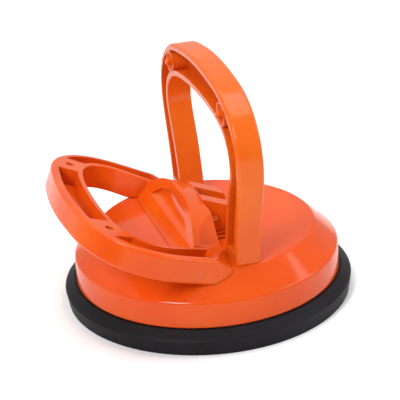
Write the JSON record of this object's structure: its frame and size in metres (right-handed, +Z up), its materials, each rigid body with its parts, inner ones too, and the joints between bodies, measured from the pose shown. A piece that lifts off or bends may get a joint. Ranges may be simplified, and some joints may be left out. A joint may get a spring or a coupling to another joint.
{
  "type": "vacuum suction cup",
  "caption": "Round rubber suction pad under a moulded dish, with a standing D handle and a hinged lever handle that pulls the pad's centre up to grip.",
  "frame": {"origin": "centre of the rubber pad's suction face, in the plane of its sealing land", "axes": "+Z up, away from the surface that the cup grips; Y along the hinge pin; the released lever lies towards -X, and the fixed handle stands over +X"},
  "size_m": [0.1205, 0.118, 0.0996],
  "materials": {
    "black_rubber": "satin moulded rubber",
    "orange_housing": "glossy moulded plastic",
    "orange_handle": "glossy moulded plastic",
    "orange_lever": "glossy moulded plastic",
    "pin_steel": "turned steel",
    "zinc_steel": "bright zinc plate"
  },
  "bodies": {
    "base": {"rubber_pad": "black_rubber", "housing": "orange_housing", "fixed_handle": "orange_handle", "handle_screws": "zinc_steel"},
    "lifter": {"pull_stud": "zinc_steel", "anchor_plate": "zinc_steel", "hinge_pin": "pin_steel"},
    "lever": {"lever_handle": "orange_lever"}
  },
  "joints": [
    {"name": "stud_lift", "type": "slide", "parent": "base", "child": "lifter", "axis": [0, 0, 1], "range_m": [0, 0.00256], "deforming": ["rubber_pad"]},
    {"name": "lever_swing", "type": "hinge", "parent": "lifter", "child": "lever", "pos_m": [0.0017, 0, 0.0345], "axis": [0, 1, 0], "range_deg": [0, 68]}
  ],
  "couplings": [
    {"joint": "stud_lift", "follows": "lever_swing", "m_per_rad": 0.0021379}
  ]
}
